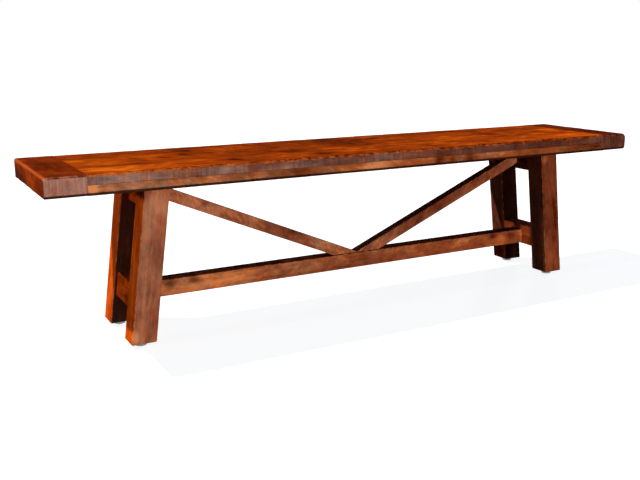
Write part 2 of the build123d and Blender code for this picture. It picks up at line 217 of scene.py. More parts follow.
def wander(board, corner, s):
    """How much a corner's wear grows or shrinks at a place along the board."""
    wave = s / WANDER_WAVE
    broad = Vector((wave, corner * BROAD_APART[0], board.seed * BROAD_APART[1]))
    fine = Vector((wave * FINE_PER_BROAD, corner * FINE_APART[0], board.seed * FINE_APART[1]))
    return 1 + WANDER_SHARE * (noise.noise(broad) + FINE_SHARE * noise.noise(fine))


def section(board, s, inset, deeper=0.0):
    """Points of the ring as (w, t, outward w, outward t, wear, side)."""
    insets = [inset * share + deeper + skin for share, skin in zip(board.end_shares, board.skins)]
    top, bottom = board.thick / 2 - insets[0], board.thick / 2 - insets[2]
    far, near = board.width / 2 - insets[1], board.width / 2 - insets[3]
    tips = ((far, top), (far, -bottom), (-near, -bottom), (-near, top))
    corners = ((1, 1), (1, -1), (-1, -1), (-1, 1))
    normals = ((0, 1), (1, 0), (0, -1), (-1, 0))
    turns = (pi / 2, 0, -pi / 2, pi)
    limit = RADIUS_LIMIT * min(far + near, top + bottom)
    radii = [min(limit, r * wander(board, i, s)) for i, r in enumerate(board.radii)]
    points = []
    for i, (sign_w, sign_t) in enumerate(corners):
        radius = radii[i]
        centre_w, centre_t = tips[i][0] - sign_w * radius, tips[i][1] - sign_t * radius
        side = (i + 1) % 4
        for k in range(ARC_STEPS + 1):
            angle = turns[i] - k / ARC_STEPS * pi / 2
            n_w, n_t = cos(angle), sin(angle)
            worn = FULL_WORN if 0 < k < ARC_STEPS else ARC_END_WORN
            points.append((centre_w + radius * n_w, centre_t + radius * n_t, n_w, n_t,
                           worn * (radius > CUT_RADIUS), i if 2 * k <= ARC_STEPS else side))
        # The flat from this corner to the next
        n_w, n_t = normals[side]
        next_w, next_t = corners[side]
        next_radius = radii[side]
        first = Vector(points[-1][:2])
        last = Vector(tips[side]) - Vector((next_w * next_radius if n_t else 0,
                                            next_t * next_radius if n_w else 0))
        plain = min(radius, next_radius) < CUT_RADIUS
        stops = flat_stops((last - first).length, board.width if n_t else board.thick, board.side_step)
        for share, worn in stops:
            place = first.lerp(last, share)
            points.append((place.x, place.y, n_w, n_t, 0.0 if plain else worn, side))
    return points


def flat_stops(span, full, step):
    """Shares of a flat at which it has points, close together near its two arrises."""
    near = [d / span for d in NEAR_ARRIS if d < NARROW_START * span]
    while len(near) < len(NEAR_ARRIS):
        near.append(NARROW_START + NARROW_STEP * len(near))
    edge = list(zip(near, FLAT_WORN))
    count = max(1, round(full / step))
    first, last = near[-1], 1 - near[-1]
    inner = [(first + (last - first) * k / (count + 1), 0.0) for k in range(1, count + 1)]
    return edge + inner + [(1 - share, worn) for share, worn in edge[::-1]]


def hollow(board, s, w, t):
    """Depth of the shallow waves that wear and planing leave on a face."""
    long_wave, cross_wave = HOLLOW_WAVES
    spot = Vector((s * long_wave, w * cross_wave + board.seed, t * cross_wave))
    return board.wave * (0.5 + 0.5 * noise.noise(spot))


def end_places(board, length):
    """Distances from the start, with close steps inside each rounded end."""
    first, last = board.end_round
    rises = [1 - cos(pi / 2 * k / END_ROUND_STEPS) for k in range(END_ROUND_STEPS + 1)]
    inner = length - first - last
    count = max(2, round(inner / board.step))
    middle = [first + inner * k / count for k in range(1, count)]
    return [first * rise for rise in rises] + middle + [length - last * rise for rise in rises][::-1]


def end_inset(board, s, length):
    """How far the section has shrunk at a place inside a rounded end."""
    for radius, inside in ((board.end_round[0], s), (board.end_round[1], length - s)):
        if inside < radius:
            return radius - sqrt(max(0.0, radius * radius - (radius - inside) ** 2))
    return 0.0


def blotch(place, marks, seed):
    """Sum of the marks at a place."""
    total = 0.0
    ragged = RAGGED_WAVES
    for (x, y, z), (reach_x, reach_y, reach_z), amount in marks:
        jitter = noise.noise(Vector((place.x * ragged, place.y * ragged, place.z * ragged + seed)))
        away = (((place.x - x) / reach_x) ** 2 + ((place.y - y) / reach_y) ** 2
                + ((place.z - z) / reach_z) ** 2)
        total += amount * exp(-away * (1 + RAGGED * jitter))
    return total


def lift(place):
    """Height above the slab's bottom on its front and back, where the painted shade line lies, and a
    metre everywhere else.
    """
    if abs(place.y) > HALF_DEPTH - UNDER_REACH and place.z > SLAB_BOTTOM - UNDER_SHADE_LINE:
        return place.z - SLAB_BOTTOM
    return 1.0


class Skin:
    """Rings of points round a board, with the values that its wood needs."""

    def __init__(self, board):
        self.board = board
        self.length = board.stop(0, 0) - board.start(0, 0)
        self.apart = Vector([board.seed * step for step in GRAIN_APART])
        self.verts, self.grain, self.rings = [], [], []
        self.fields = {"worn": [], "tone": [], "cast": [], "lift": [], "side": []}
        first_round, last_round = board.end_round
        for deeper in NEAR_ARRIS[::-1]:
            self.add_ring(0, first_round, deeper, True)
        for s in end_places(board, self.length):
            self.add_ring(s, end_inset(board, s, self.length), 0, False)
        for deeper in NEAR_ARRIS:
            self.add_ring(self.length, last_round, deeper, True)

    def add_ring(self, s, inset, deeper, cap):
        """Adds a ring at a distance along. A cap ring lies inside an end face, deeper from its rim."""
        board = self.board
        largest = max(board.end_round)
        share = s / self.length
        sunk = min(1.0, BAND_GAIN * inset / largest) if s < self.length / 2 else 0.0
        ring = []
        for w, t, n_w, n_t, worn, side in section(board, s, inset, deeper):
            first, last = board.start(w, t), board.stop(w, t)
            if cap:
                worn, side = (CAP_RIM_WORN if deeper < NEAR_ARRIS[1] else 0.0), END_SIDE
            elif inset > CAP_EDGE * largest:
                worn, side = CAP_ROUND_WORN, END_SIDE
            elif inset > 0:
                worn = max(worn, board.end_shares[side])
            ring.append(len(self.verts))
            self.add_point(first + (last - first) * share, w, t, n_w, n_t, worn, side, sunk)
        self.rings.append(ring)

    def add_point(self, s, w, t, n_w, n_t, worn, side, sunk):
        """Adds a point, sunk into the face's hollows unless it is on a worn arris."""
        board = self.board
        deep = 0 if worn == FULL_WORN else hollow(board, s, w, t)
        place = board.point(s, w - n_w * deep, t - n_t * deep)
        tone = board.tone_base + board.side_tones[side] + board.sheen_slope * place.x
        look = (board.palette + (board.cap_side,))[side]
        if board.rim and worn > RIM_WORN and n_t > RIM_UP and side != END_SIDE:
            tone += board.rim * (n_t - RIM_MIDDLE)
            look = board.rim_look
        if sunk and board.band is not None and side == TOP_SIDE:
            look = board.palette[0] + (board.band - board.palette[0]) * sunk
        self.verts.append(place)
        self.grain.append(Vector((s, w, t)) + self.apart)
        self.fields["worn"].append(worn)
        self.fields["tone"].append(tone + blotch(place, board.marks, board.seed))
        self.fields["cast"].append(blotch(place, board.casts, board.seed))
        self.fields["lift"].append(lift(place))
        self.fields["side"].append(look)


def build(board, body="bench"):
    """Mesh object of a board, with what its wood needs stored on the points."""
    skin = Skin(board)
    mesh = loft(board.name, skin.verts, skin.rings)
    store(mesh, "grain", "FLOAT_VECTOR", "vector", [c for v in skin.grain for c in v])
    for name, values in skin.fields.items():
        store(mesh, name, "FLOAT", "value", values)
    for polygon in mesh.polygons:
        polygon.use_smooth = True
    mesh.set_sharp_from_angle(angle=SHARP_ANGLE)
    piece = bpy.data.objects.new(board.name, mesh)
    bpy.context.scene.collection.objects.link(piece)
    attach(piece, body)
    return piece


def loft(name, verts, rings):
    """Closed mesh through rings of points, its faces looking outwards."""
    faces = []
    for ring, following in zip(rings, rings[1:]):
        count = len(ring)
        for k in range(count):
            beside = (k + 1) % count
            faces.append((ring[k], ring[beside], following[beside], following[k]))
    faces.append(tuple(reversed(rings[0])))
    faces.append(tuple(rings[-1]))
    mesh = bpy.data.meshes.new(name)
    mesh.from_pydata(verts, [], faces)
    mesh.validate()
    mesh.update()
    if flipped(mesh):
        mesh.flip_normals()
    return mesh


def flipped(mesh):
    """True if the faces look inwards, by the sign of the enclosed volume."""
    volume = 0.0
    for polygon in mesh.polygons:
        corners = [mesh.vertices[i].co for i in polygon.vertices]
        for a, b in zip(corners[1:], corners[2:]):
            volume += corners[0].dot(a.cross(b))
    return volume < 0


def store(mesh, name, kind, field, values):
    """Stores values on a mesh's points as a named attribute."""
    layer = mesh.attributes.new(name, kind, "POINT")
    layer.data.foreach_set(field, values)


def dress(board, node, material, body="bench"):
    """Builds a board in place of its CAD node."""
    piece = build(board, body)
    piece.data.materials.append(material)
    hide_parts(node)
    return piece


# Palettes: dark, middle, bright
TOP = (colour(78, 22, 1), colour(148, 55, 3), colour(206, 98, 10))
PLANK_EDGE = (colour(66, 24, 12), colour(122, 71, 54), colour(174, 126, 106))
STRIP = (colour(96, 36, 10), colour(150, 80, 44), colour(208, 136, 96))
BREADBOARD = (colour(56, 15, 2), colour(116, 38, 3), colour(164, 62, 6))
BREADBOARD_EDGE = (colour(74, 30, 16), colour(150, 94, 76), colour(196, 142, 120))
LEG_FRONT = (colour(78, 24, 6), colour(150, 80, 52), colour(200, 130, 92))
LEG_SIDE = (colour(130, 43, 5), colour(206, 77, 9), colour(246, 105, 24))
RAIL = (colour(100, 30, 1), colour(190, 68, 4), colour(230, 98, 20))
BAR = (colour(84, 30, 12), colour(146, 74, 42), colour(208, 126, 76))
BRACE = (colour(84, 32, 16), colour(148, 78, 48), colour(210, 132, 90))
HIDDEN = (colour(70, 30, 12), colour(140, 74, 32), colour(176, 104, 52))
PLUG = (colour(120, 40, 14), colour(196, 76, 34), colour(226, 100, 50))
DOWEL = (colour(140, 104, 66), colour(196, 156, 106), colour(222, 188, 138))

WOOD_GLOSS = 0.003
WOOD_GLOSS_TINT = (1.0, 0.72, 0.45, 1.0)
WOOD_ROUGHNESS = (0.78, 0.60)
COOL = (0.68, 0.86, 1.02, 1.0)
WARM = (1.28, 1.05, 0.70, 1.0)
# Colour of the painted shade line under the slab
UNDER_SHADE_TINT = colour(34, 15, 9)
PORE_TINT = colour(38, 12, 5)
TURN_ALONG_Y = (0.0, 0.0, pi / 2)

# Values of the wood's fields on a node that keeps its own mesh
PLAIN = {"worn": 0.0, "tone": 0.0, "side": 0.0, "cast": 0.0, "lift": 1.0}

# Layers of the wood: noise scales along, across and through the board, then detail, roughness
# and distortion. The first follow the bent grain, the others the straight one.
BENT_LAYERS = {
    "broad": ((1.8, 17.0, 17.0), 5.0, 0.62, 0.4),
    "narrow": ((6.0, 95.0, 95.0), 4.0, 0.6, 0.2),
    "fibre": ((26.0, 620.0, 620.0), 3.0, 0.6),
}
STRAIGHT_LAYERS = {
    "cloud": ((8.0, 15.0, 15.0), 5.0, 0.6, 0.8),
    "patch": ((24.0, 40.0, 40.0), 4.0, 0.6, 0.5),
}
RUB = ((64.0, 130.0, 130.0), 4.0, 0.65, 0.3)
PORES = ((60.0, 900.0, 900.0), 2.0, 0.5)
WAVER = ((2.0, 9.0, 9.0), 3.0)
# Slanting figure in two sizes, each with its share
FLAMES = (
    (((14.0, 34.0, 44.0), 4.0, 0.62, 0.8), 0.7),
    (((34.0, 90.0, 120.0), 4.0, 0.62, 0.8), 0.8),
)

# Bends of the grain, and growth rings: place of the pith, distance apart, waver and strength
BEND_STRETCH = (2.4, 7.0, 7.0)
BEND_REACH = 0.05
PITH = (0.21, 0.13)
RING_APART = 9 * MM
WAVER_REACH = 0.05
RING_STRENGTH = 0.012

# Middle of a noise, and the value at which a palette shows its middle colour
HALF = 0.5
MIDDLE_VALUE = 0.58

# Drifts of colour and saw cuts: noise after its three scales, and the strength of a cast
HUE_NOISE = (4.0, 0.6, 0.5)
SAW_NOISE = (2.0, 0.6)
CAST_STRENGTH = 0.3

# Rubbed arrises: shares of tone and noise in them, the wear at which they start and are full, and
# how much they cover
RUB_TONE = 0.6
RUB_NOISE = 0.6
RUB_RANGE = (0.85, 1.2)
RUB_COVER = 0.8

# Painted shade line under the slab: shares of its height where it starts to fade and is gone, and its
# cover
UNDER_FADE = (0.9, 1.15)
UNDER_COVER = 0.93

# Pores: noise at which they start and are full, their cover and their depth in the bump
PORE_RANGE = (0.66, 0.74)
PORE_COVER = 0.45
PORE_DEPTH = 0.4

# Roughness and bump: shares of the layers in them, and their range or strength and height
SHINE_CLOUD, SHINE_NARROW = 0.6, 0.4
SHINE_RANGE = (0.35, 0.65)
BUMP_FIBRE, BUMP_NARROW = 0.35, 0.65
WOOD_BUMP = (0.35, 0.4 * MM)
RUBBER_BUMP = (0.3, 0.2 * MM)


# Materials

class Tree:
    """Shorthand for building the node tree of a material or a world."""

    def __init__(self, owner):
        owner.use_nodes = True
        self.owner = owner
        self.nodes = owner.node_tree.nodes
        self.links = owner.node_tree.links
        self.shader = self.nodes.get("Principled BSDF")

    def put(self, kind, inputs=None, **settings):
        node = self.nodes.new(kind)
        for key, value in settings.items():
            setattr(node, key, value)
        for key, value in (inputs or {}).items():
            self.feed(node.inputs[key], value)
        return node

    def feed(self, socket, value):
        if isinstance(value, bpy.types.NodeSocket):
            self.links.new(value, socket)
        else:
            socket.default_value = value

    def shade(self, name, value):
        self.feed(self.shader.inputs[name], value)

    def math(self, operation, a, b=0.0, clamp=False):
        node = self.put("ShaderNodeMath", {0: a, 1: b}, operation=operation, use_clamp=clamp)
        return node.outputs[0]

    def plus(self, a, b):
        return self.math("ADD", a, b)

    def minus(self, a, b):
        return self.math("SUBTRACT", a, b)

    def times(self, a, b):
        return self.math("MULTIPLY", a, b)

    def vector_math(self, operation, a, b):
        return self.put("ShaderNodeVectorMath", {0: a, 1: b}, operation=operation).outputs[0]

    def attribute(self, name, output="Fac"):
        return self.put("ShaderNodeAttribute", attribute_name=name).outputs[output]

    def object_place(self):
        return self.put("ShaderNodeTexCoord").outputs["Object"]

    def stretch(self, vector, scale):
        return self.put("ShaderNodeMapping", {"Vector": vector, "Scale": scale}).outputs[0]

    def turn(self, vector, rotation):
        return self.put("ShaderNodeMapping", {"Vector": vector, "Rotation": rotation}).outputs[0]

    def noise(self, vector, scale, detail=4.0, roughness=0.55, distortion=0.0):
        node = self.put("ShaderNodeTexNoise", {"Vector": vector, "Scale": scale, "Detail": detail,
                                               "Roughness": roughness, "Distortion": distortion})
        return node.outputs["Fac"]

    def layer(self, vector, scales, *settings):
        """Noise stretched by its three scales."""
        return self.noise(self.stretch(vector, scales), 1.0, *settings)

    def ramp(self, value, stops):
        node = self.put("ShaderNodeValToRGB", {"Fac": value})
        elements = node.color_ramp.elements
        while len(elements) < len(stops):
            elements.new(0.5)
        for element, (place, tint) in zip(elements, stops):
            element.position = place
            element.color = tint
        return node.outputs["Color"]

    def blend(self, fac, a, b, how="MIX"):
        node = self.put("ShaderNodeMix", data_type="RGBA", blend_type=how)
        self.feed(node.inputs["Factor"], fac)
        self.feed(node.inputs[6], a)
        self.feed(node.inputs[7], b)
        return node.outputs[2]

    def remap(self, value, low, high, to_low=0.0, to_high=1.0):
        node = self.put("ShaderNodeMapRange", {"Value": value, "From Min": low, "From Max": high,
                                               "To Min": to_low, "To Max": to_high})
        return node.outputs[0]

    def bump(self, height, strength, distance):
        node = self.put("ShaderNodeBump", {"Height": height, "Strength": strength,
                                           "Distance": distance})
        self.shade("Normal", node.outputs[0])


def darkened(tint, share):
    """A colour at a share of its strength."""
    return tuple(share * c for c in tint[:3]) + (1.0,)


def stain_stops(dark, middle, bright):
    """Ramp of a palette for the stained wood."""
    half = tuple(0.5 * (m + d) for m, d in zip(middle, dark))
    return ((0.0, darkened(dark, 0.22)), (0.22, dark), (0.42, half), (MIDDLE_VALUE, middle),
            (0.90, bright))


def rubbed_stops(dark, middle, bright):
    """Ramp of a palette for the rubbed arrises."""
    return (0.24, darkened(dark, 0.15)), (0.37, dark), (0.50, middle), (0.72, bright)


def two_palettes(tree, value, side, stops, palettes):
    """Colour of a value in both palettes, mixed by the side's place between them."""
    return tree.blend(side, *[tree.ramp(value, stops(*palette)) for palette in palettes])


def bent_grain(tree, grain):
    """The grain with slow bends, so that streaks wander."""
    bend = tree.put("ShaderNodeTexNoise", {"Vector": tree.stretch(grain, BEND_STRETCH), "Scale": 1.0,
                                           "Detail": 2.0}).outputs["Color"]
    offset = tree.vector_math("SUBTRACT", bend, (HALF,) * 3)
    offset = tree.vector_math("MULTIPLY", offset, (BEND_REACH,) * 3)
    return tree.vector_math("ADD", grain, offset)


def growth_rings(tree, grain, bent):
    """Rings about a pith that lies outside the board."""
    parts = tree.put("ShaderNodeSeparateXYZ", {0: bent})
    ring_w, ring_t = tree.plus(parts.outputs[1], PITH[0]), tree.plus(parts.outputs[2], PITH[1])
    squares = tree.plus(tree.times(ring_w, ring_w), tree.times(ring_t, ring_t))
    waver = tree.times(tree.layer(grain, *WAVER), WAVER_REACH)
    radius = tree.plus(tree.math("SQRT", squares), waver)
    return tree.math("SINE", tree.times(radius, 2 * pi / RING_APART))


def wood_values(tree, turned):
    """Grain and fields of a dressed board, or of a node that keeps its own mesh."""
    if turned is None:
        fields = {name: tree.attribute(name) for name in PLAIN}
        return tree.attribute("grain", "Vector"), fields
    return tree.turn(tree.object_place(), turned), PLAIN


def wood_layers(tree, grain, bent):
    """The wood's layers of noise, by name."""
    layers = {name: tree.layer(bent, *layer) for name, layer in BENT_LAYERS.items()}
    layers.update({name: tree.layer(grain, *layer) for name, layer in STRAIGHT_LAYERS.items()})
    return layers


def mixed_layers(tree, layers, patchy):
    """Sum of the layers about 0. patchy is the share of round patches against streaks."""
    streaky = 1 - patchy
    shares = {"broad": 1.0, "narrow": 0.45 + 0.9 * streaky, "fibre": 0.3 + 0.3 * streaky,
              "cloud": 1.3 * patchy, "patch": 0.9 * patchy}
    value = 0.0
    for name, share in shares.items():
        value = tree.plus(value, tree.times(tree.minus(layers[name], HALF), share))
    return value


def add_flames(tree, value, grain, figure, lean):
    """Adds slanting figure in two sizes."""
    slant = tree.turn(grain, (0.0, lean, 0.0))
    for layer, share in FLAMES:
        flame = tree.minus(tree.layer(slant, *layer), HALF)
        value = tree.plus(value, tree.times(flame, figure * share))
    return value


def drifted(tree, tint, grain, fields, hue_stretch, drift):
    """Colour that drifts between slate and rust."""
    hue = tree.layer(grain, hue_stretch, *HUE_NOISE)
    hue = tree.plus(hue, tree.times(fields["cast"], CAST_STRENGTH))
    shift = tree.ramp(hue, ((0.32, COOL), (0.50, WHITE), (0.68, WARM)))
    return tree.blend(tree.remap(fields["side"], 0.0, 1.0, *drift), tint, shift, "MULTIPLY")


def rubbed(tree, tint, grain, fields, palettes):
    """Colour with broken dark and pale stretches along the worn arrises."""
    rub = tree.layer(grain, *RUB)
    rub_value = tree.plus(rub, tree.times(fields["tone"], RUB_TONE))
    arris_tint = two_palettes(tree, rub_value, fields["side"], rubbed_stops, palettes)
    mask = tree.remap(tree.plus(fields["worn"], tree.times(rub, RUB_NOISE)), *RUB_RANGE)
    return tree.blend(tree.times(mask, RUB_COVER), tint, arris_tint)


def with_under_shade(tree, tint, lifted):
    """Colour with the painted shade line along the bottom of the slab's front and back."""
    full, gone = [share * UNDER_SHADE_LINE for share in UNDER_FADE]
    under = tree.remap(lifted, full, gone, UNDER_COVER, 0.0)
    return tree.blend(under, tint, UNDER_SHADE_TINT)


def add_gloss_and_bump(tree, layers, pores):
    """Roughness, a faint gloss and the relief of the wood."""
    shine = tree.plus(tree.times(layers["cloud"], SHINE_CLOUD),
                      tree.times(layers["narrow"], SHINE_NARROW))
    shine = tree.remap(shine, *SHINE_RANGE, *WOOD_ROUGHNESS)
    tree.shade("Roughness", shine)
    tree.shade("Specular IOR Level", WOOD_GLOSS)
    tree.shade("Specular Tint", WOOD_GLOSS_TINT)
    height = tree.plus(tree.times(layers["fibre"], BUMP_FIBRE),
                       tree.times(layers["narrow"], BUMP_NARROW))
    tree.bump(tree.minus(height, tree.times(pores, PORE_DEPTH)), *WOOD_BUMP)


def wood(name, face, edge, contrast=(1.0, 1.0), drift=(0.5, 0.5), figure=0.0, lean=0.7, saw=0.0,
         saw_stretch=(210.0, 3.0, 3.0), patchy=1.0, hue_stretch=(30.0, 52.0, 52.0), turned=None):
    """Stained wood. face and edge are the dark, middle and bright colours of its two palettes.

    contrast and drift of colour are given for both. figure is the strength of slanting figure,
    lean its angle in radians, and saw the strength of fine cuts across the edge palette. patchy
    is the share of round patches against streaks, and hue_stretch the scale of the colour drifts.
    turned is the turn of the grain on a node that keeps its own mesh.
    """
    tree = Tree(bpy.data.materials.new(name))
    grain, fields = wood_values(tree, turned)
    side = fields["side"]
    bent = bent_grain(tree, grain)
    layers = wood_layers(tree, grain, bent)
    value = tree.times(mixed_layers(tree, layers, patchy), tree.remap(side, 0.0, 1.0, *contrast))
    if figure:
        value = add_flames(tree, value, grain, figure, lean)
    value = tree.plus(value, tree.times(growth_rings(tree, grain, bent), RING_STRENGTH))
    value = tree.plus(tree.plus(value, fields["tone"]), MIDDLE_VALUE)
    if saw:
        cuts = tree.minus(tree.layer(grain, saw_stretch, *SAW_NOISE), HALF)
        value = tree.plus(value, tree.times(tree.times(cuts, saw), side))
    tint = two_palettes(tree, value, side, stain_stops, (face, edge))
    tint = drifted(tree, tint, grain, fields, hue_stretch, drift)
    tint = rubbed(tree, tint, grain, fields, (face, edge))
    tint = with_under_shade(tree, tint, fields["lift"])
    pores = tree.remap(tree.layer(bent, *PORES), *PORE_RANGE)
    tint = tree.blend(tree.times(pores, PORE_COVER), tint, PORE_TINT)
    tree.shade("Base Color", tint)
    add_gloss_and_bump(tree, layers, pores)
    return tree.owner


def metal(name, tint, roughness, scratches=0.12):
    """Plated metal with fine scratches."""
    tree = Tree(bpy.data.materials.new(name))
    place = tree.object_place()
    cloud = tree.noise(place, 160.0, 3.0)
    fine = tree.layer(place, (900.0, 900.0, 3000.0), 2.0)
    tree.shade("Metallic", 1.0)
    dulled = tree.plus(tree.times(cloud, 0.25), 0.85)
    tree.shade("Base Color", tree.blend(1.0, tint, dulled, "MULTIPLY"))
    tree.shade("Roughness", tree.plus(tree.times(fine, scratches), roughness))
    return tree.owner


def rubber(name):
    """Dark moulded rubber with a fine pebbled skin."""
    tree = Tree(bpy.data.materials.new(name))
    pebbles = tree.noise(tree.object_place(), 1400.0, 3.0)
    tint = tree.ramp(pebbles, ((0.3, colour(14, 14, 15)), (0.7, colour(34, 33, 33))))
    tree.shade("Base Color", tint)
    tree.shade("Roughness", 0.75)
    tree.bump(pebbles, *RUBBER_BUMP)
    return tree.owner


plank_wood = wood("plank_wood", TOP, PLANK_EDGE, contrast=(0.70, 0.45), drift=(0.45, 0.8), saw=0.30,
                  patchy=0.82)
breadboard_wood = wood("breadboard_wood", BREADBOARD, BREADBOARD_EDGE, contrast=(0.5, 0.25),
                       drift=(0.3, 0.35), saw=0.45, saw_stretch=(3.0, 260.0, 6.0))
strip_wood = wood("strip_wood", STRIP, STRIP, contrast=(0.5, 0.5), drift=(0.9, 0.9), figure=0.4,
                  lean=-0.5)
leg_wood = wood("leg_wood", LEG_FRONT, LEG_SIDE, contrast=(0.45, 0.8), drift=(0.7, 0.6),
                figure=0.15, patchy=0.65, hue_stretch=(14.0, 64.0, 64.0))
rail_wood = wood("rail_wood", RAIL, LEG_FRONT, contrast=(0.7, 0.5), drift=(0.35, 0.35), figure=0.3)
stretcher_wood = wood("stretcher_wood", BAR, BAR, contrast=(0.55, 0.55), drift=(0.8, 0.8),
                      figure=0.25)
brace_wood = wood("brace_wood", BRACE, BRACE, contrast=(0.3, 0.3), drift=(1.0, 1.0), figure=0.6,
                  hue_stretch=(44.0, 66.0, 66.0))
batten_wood = wood("batten_wood", HIDDEN, HIDDEN, turned=TURN_ALONG_Y)
plug_wood = wood("plug_wood", PLUG, PLUG, turned=TURN_ALONG_Y)
dowel_wood = wood("dowel_wood", DOWEL, DOWEL, turned=TURN_ALONG_Y)
zinc = metal("zinc_plate", colour(205, 206, 200), 0.32)
screw_metal = metal("screw_plate", colour(176, 166, 140), 0.36)
nickel = metal("nickel_plate", colour(138, 140, 145), 0.10, 0.05)
sole = rubber("sole_rubber")


# Marks

# Each is a place, a reach and a strength. In lists of marks they turn the wood lighter above 0 and
# darker below, in lists of casts warmer above 0 and cooler below. The depths say how far they reach
# from their face, and BAR_FRONT is about where the bars' front faces lie.
TOP_MARK_DEPTH = 20 * MM
EDGE_MARK_DEPTH = 15 * MM
BAR_FRONT = -0.02
BAR_MARK_DEPTH = 0.03


def on_top(x, y, reach_x, reach_y, amount):
    """Mark on the seat, in millimetres."""
    return (x * MM, y * MM, TOP_Z), (reach_x * MM, reach_y * MM, TOP_MARK_DEPTH), amount


def on_edge(x, z, reach_x, reach_z, amount):
    """Mark on the front edge, in millimetres."""
    reach = (reach_x * MM, EDGE_MARK_DEPTH, reach_z * MM)
    return (x * MM, -HALF_DEPTH, z * MM), reach, amount


def on_end(y, z, reach_y, reach_z, amount):
    """Mark on the left end, in millimetres."""
    reach = (EDGE_MARK_DEPTH, reach_y * MM, reach_z * MM)
    return (-HALF_LENGTH, y * MM, z * MM), reach, amount


def on_bar(x, z, reach_x, reach_z, amount):
    """Mark on the front of the stretcher or a brace, in millimetres."""
    reach = (reach_x * MM, BAR_MARK_DEPTH, reach_z * MM)
    return (x * MM, BAR_FRONT, z * MM), reach, amount


TOP_MARKS = [
    on_top(-487, 96, 40.8, 52.9, -0.29),
    on_top(-517, 32, 24, 34.5, -0.22),
    on_top(-578, 8, 15.6, 13.8, -0.24),
    on_top(-654, 20, 24, 23, -0.16),
    on_top(-764, 78, 31.2, 25.3, -0.06),
    on_top(-725, -68, 100, 12, -0.16),
    on_top(-426, -117, 17, 16, -0.24),
    on_top(-402, -30, 28.8, 25.3, -0.09),
    on_top(-219, -47, 34, 28, -0.14),
    on_top(-173, -126, 26, 22, -0.20),
    on_top(-200, 0, 240, 400, -0.10),
    on_top(-30, 95, 60, 75, -0.18),
    on_top(700, -150, 170, 90, 0.06),
    on_top(600, 60, 300, 100, -0.07),
    on_top(0, 140, 300, 60, -0.10),
    on_top(40, 30, 65, 100, -0.14),
    on_top(115, 89, 19.2, 18.4, -0.13),
    on_top(225, -39, 43.2, 29.9, -0.16),
    on_top(170, -118, 38.4, 25.3, -0.17),
    on_top(505, 62, 31.2, 46, -0.22),
    on_top(520, 10, 24, 29.9, -0.18),
    on_top(578, 4, 24, 23, -0.09),
    on_top(742, -69, 26.4, 25.3, -0.08),
    on_top(-760, -140, 60, 36, 0.17),
    on_top(-640, -120, 60, 40, 0.15),
    on_top(-535, -86, 50, 30, 0.14),
    on_top(-408, 78, 40, 30, 0.08),
    on_top(-79, -105, 45, 36, 0.10),
    on_top(91, 34, 30, 30, 0.12),
    on_top(341, 10, 50, 40, 0.10),
    on_top(608, 119, 50, 40, 0.10),
    on_top(700, -124, 70, 36, 0.20),
    on_top(779, 0, 40, 60, 0.20),
]
TOP_CASTS = [
    on_top(730, -90, 120, 70, 0.7),
    on_top(780, 60, 60, 90, 0.2),
    on_top(560, 100, 90, 60, 0.4),
    on_top(560, -40, 50, 30, -0.5),
    on_top(120, 60, 90, 50, -0.5),
    on_top(-60, 110, 80, 60, -0.6),
    on_top(-210, -40, 60, 60, -0.3),
    on_top(-700, -120, 120, 60, 0.2),
    on_top(-690, 40, 60, 50, 0.2),
]
EDGE_MARKS_AND_SHEEN = [
    # The first four, broad, are a painted sheen strongest at the left and fading to the right; the
    # rest are the wood's own marks
    on_edge(-700, 440, 160, 30, 0.20),
    on_edge(-330, 440, 90, 30, 0.15),
    on_edge(-60, 440, 160, 30, 0.12),
    on_edge(620, 440, 260, 30, -0.26),
    on_edge(-770, 440, 40, 30, 0.10),
    on_edge(-480, 442, 40, 30, 0.14),
    on_edge(180, 438, 40, 20, -0.16),
    on_edge(560, 457, 300, 4, 0.14),
]
EDGE_CASTS = [
    on_edge(-780, 442, 32, 14, -0.8),
    on_edge(-706, 442, 12, 12, -0.6),
    on_edge(-648, 442, 18, 12, -0.6),
    on_edge(-585, 442, 28, 12, 0.5),
    on_edge(-480, 442, 20, 12, -0.6),
    on_edge(-420, 442, 18, 12, 0.5),
    on_edge(-230, 442, 26, 12, -0.5),
    on_edge(-150, 442, 20, 12, -0.6),
    on_edge(-30, 442, 34, 12, -0.5),
    on_edge(120, 442, 50, 12, 0.4),
    on_edge(420, 442, 50, 12, -0.4),
    on_edge(690, 442, 60, 12, 0.5),
]
STRIP_MARKS = [
    on_edge(-806, 420, 14, 20, 0.34),
    on_edge(-620, 420, 150, 20, 0.08),
    on_edge(-290, 420, 50, 20, -0.22),
    on_edge(-60, 420, 60, 20, 0.20),
    on_edge(165, 420, 16, 20, -0.34),
    on_edge(215, 420, 12, 20, -0.26),
    on_edge(280, 420, 18, 20, -0.30),
    on_edge(480, 420, 120, 20, -0.02),
    on_edge(690, 420, 40, 20, -0.14),
    on_edge(770, 420, 60, 20, -0.20),
]
STRIP_CASTS = [
    on_edge(-806, 420, 12, 20, 0.7),
    on_edge(-650, 420, 40, 20, -0.4),
    on_edge(-90, 420, 70, 20, 0.7),
    on_edge(80, 420, 70, 20, 0.7),
    on_edge(200, 420, 20, 20, 0.5),
    on_edge(480, 420, 120, 20, 0.5),
    on_edge(770, 420, 60, 20, -0.5),
]
